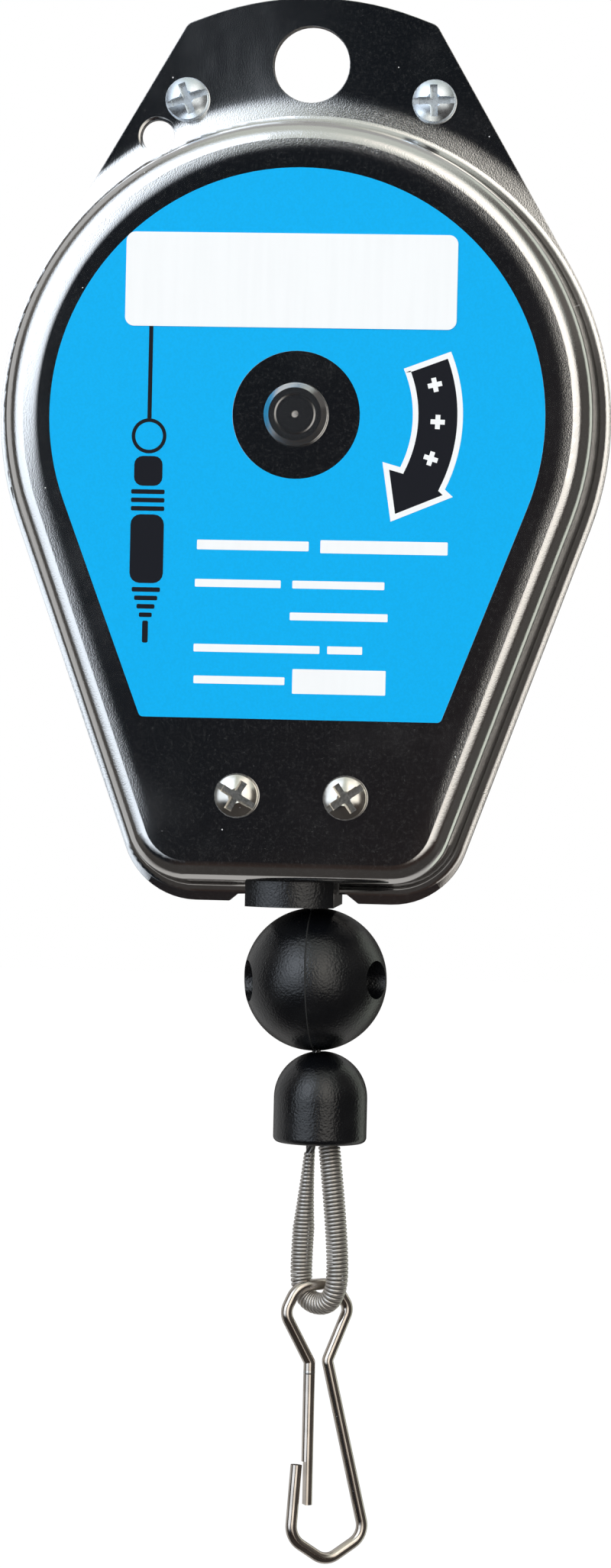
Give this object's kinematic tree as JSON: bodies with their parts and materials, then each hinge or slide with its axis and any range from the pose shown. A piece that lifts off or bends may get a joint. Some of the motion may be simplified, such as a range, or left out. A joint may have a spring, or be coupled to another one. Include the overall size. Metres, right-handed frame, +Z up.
{
  "type": "tool balancer",
  "caption": "Spring tool balancer: teardrop sheet steel case with a hanging eye, sprung rope drum, stop ball, bell cap and guarded rope loop with a snap hook.",
  "frame": {"origin": "centre of the hanging eye, in the joint plane of the two covers", "axes": "+Z up, the rope hangs down; -Y is the label side; +Y runs through the hanging eye to the ratchet side"},
  "size_m": [0.096, 0.0395, 0.2459],
  "materials": {
    "case_plating": "bright nickel plated steel",
    "label_blue": "printed film",
    "sticker_white": "white film",
    "zinc": "bright zinc plate",
    "screw_nickel": "nickel plate",
    "turned_steel": "turned",
    "spring_steel": "blued strip",
    "bronze": "sintered bronze",
    "cast_drum": "die cast",
    "black_moulding": "fine grain",
    "rope_steel": "stranded wire",
    "guard_wire": "close coiled wire",
    "hook_wire": "nickel plated wire"
  },
  "bodies": {
    "case": {"front_cover": "case_plating", "rear_cover": "case_plating", "front_label": "label_blue", "blank_sticker": "sticker_white", "top_screws": "zinc", "foot_screws": "screw_nickel", "top_nuts": "zinc", "foot_nuts": "screw_nickel", "guide_block": "black_moulding", "thrust_washers": "turned_steel", "pawl_rivet": "turned_steel", "pawl_spring": "spring_steel"},
    "adjuster": {"arbor": "turned_steel", "ratchet_wheel": "turned_steel", "arbor_clip": "spring_steel"},
    "pawl": {"pawl": "turned_steel"},
    "drum": {"drum": "cast_drum", "drum_cover": "turned_steel", "drum_screws": "zinc", "drum_bushes": "bronze", "power_spring": "spring_steel", "rope_winding": "rope_steel", "rope_anchor": "turned_steel"},
    "pull": {"rope_lead": "rope_steel", "ball_half_left": "black_moulding", "ball_half_right": "black_moulding", "ball_screws": "zinc", "ball_nuts": "zinc", "bell_cap": "black_moulding", "ferrule": "turned_steel", "rope_loop": "rope_steel", "coil_guard": "guard_wire"},
    "hook": {"hook_frame": "hook_wire"},
    "gate": {"hook_gate": "hook_wire"}
  },
  "joints": [
    {"name": "drum_spin", "type": "hinge", "parent": "case", "child": "drum", "pos_m": [0, 0, -0.0557], "axis": [0, -1, 0], "range_deg": [0, 2546.4], "stiffness_Nm_per_rad": 0.0078, "springref_deg": -2543.93, "deforming": ["power_spring"]},
    {"name": "cable_pull", "type": "slide", "parent": "case", "child": "pull", "axis": [0, 0, -1], "range_m": [0, 1.6], "deforming": ["rope_lead", "rope_winding"]},
    {"name": "adjuster_turn", "type": "hinge", "parent": "case", "child": "adjuster", "pos_m": [0, 0, -0.0557], "axis": [0, 1, 0], "range_deg": [0, 2880], "deforming": ["power_spring"]},
    {"name": "pawl_lift", "type": "hinge", "parent": "case", "child": "pawl", "pos_m": [-0.0165, 0.016, -0.0452], "axis": [0, -1, 0], "range_deg": [0, 20], "stiffness_Nm_per_rad": 0.02, "springref_deg": -34.38, "deforming": ["pawl_spring"]},
    {"name": "hook_swing", "type": "hinge", "parent": "pull", "child": "hook", "pos_m": [0.00483, 0, -0.1944], "axis": [0.766, -0.6428, -0.0027], "range_deg": [-40, 40]},
    {"name": "gate_open", "type": "hinge", "parent": "hook", "child": "gate", "pos_m": [0.00406, -0.00067, -0.2052], "axis": [0.422, -0.9063, 0.0221], "range_deg": [0, 14], "stiffness_Nm_per_rad": 0.2, "springref_deg": -5.73}
  ],
  "couplings": [
    {"joint": "cable_pull", "follows": "drum_spin", "m_per_rad": 0.036}
  ]
}
